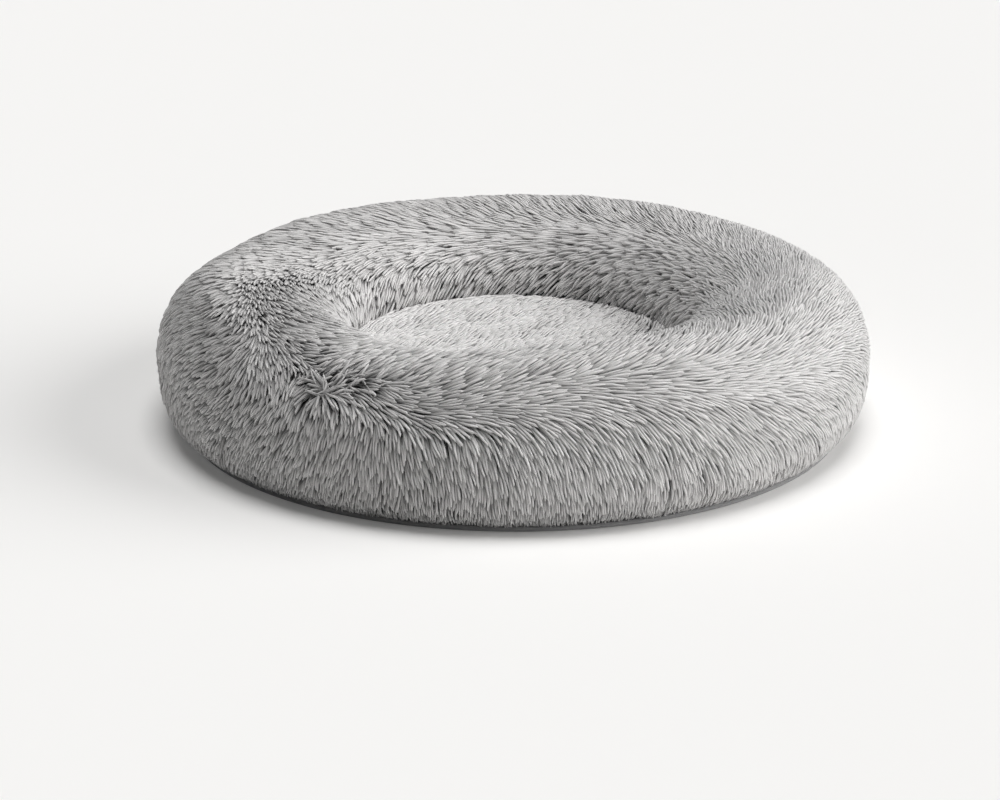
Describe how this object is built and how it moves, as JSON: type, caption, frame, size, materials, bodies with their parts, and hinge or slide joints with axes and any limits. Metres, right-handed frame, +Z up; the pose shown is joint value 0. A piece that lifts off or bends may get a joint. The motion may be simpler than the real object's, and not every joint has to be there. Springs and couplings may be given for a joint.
{
  "type": "dog bed",
  "caption": "Round plush pet bed: a stuffed long-pile ring round a sunken padded centre, on a flat non-slip base, with a removable zipped cover.",
  "frame": {"origin": "on the floor, under the middle of the round bed", "axes": "+Z up, away from the floor; -Y towards the front, where the picture looks from; +Y towards the zip in the rear of the base seam"},
  "size_m": [0.9096, 0.9098, 0.1948],
  "materials": {
    "plush": "long-pile faux fur, light grey, soft clumped locks",
    "base_cloth": "plain woven polyester with small moulded grip dots",
    "binding_cloth": "mid-grey woven polyester, rolled and stitched",
    "bag_cloth": "thin bonded non-woven cloth",
    "fibre_fill": "loose polyester fibre",
    "zip_tape": "grey woven zip tape",
    "zip_teeth": "dark grey nylon coil",
    "zip_metal": "satin nickel-plated cast zinc"
  },
  "bodies": {
    "root": {"base_panel": "base_cloth", "base_binding": "binding_cloth", "divider_wall": "bag_cloth", "ring_fill": "fibre_fill", "ring_liner": "bag_cloth", "ring_cover": "plush", "pad_fill": "fibre_fill", "pad_liner_base": "bag_cloth", "pad_liner_top": "bag_cloth", "pad_cover": "plush", "zip_tape_lower": "zip_tape", "zip_tape_upper": "zip_tape", "zip_teeth_lower": "zip_teeth", "zip_teeth_upper": "zip_teeth", "zip_stop_start": "zip_metal", "zip_stop_end": "zip_metal"},
    "slider": {"zip_slider": "zip_metal"},
    "pull": {"zip_pull": "zip_metal"}
  },
  "joints": [
    {"name": "zip_travel", "type": "hinge", "parent": "root", "child": "slider", "pos_m": [0, 0, 0.0143], "axis": [0, 0, 1], "range_deg": [0, 91.4]},
    {"name": "pull_flip", "type": "hinge", "parent": "slider", "child": "pull", "pos_m": [0.30303, 0.29535, 0.0143], "axis": [0, 0, -1], "range_deg": [0, 180]}
  ]
}
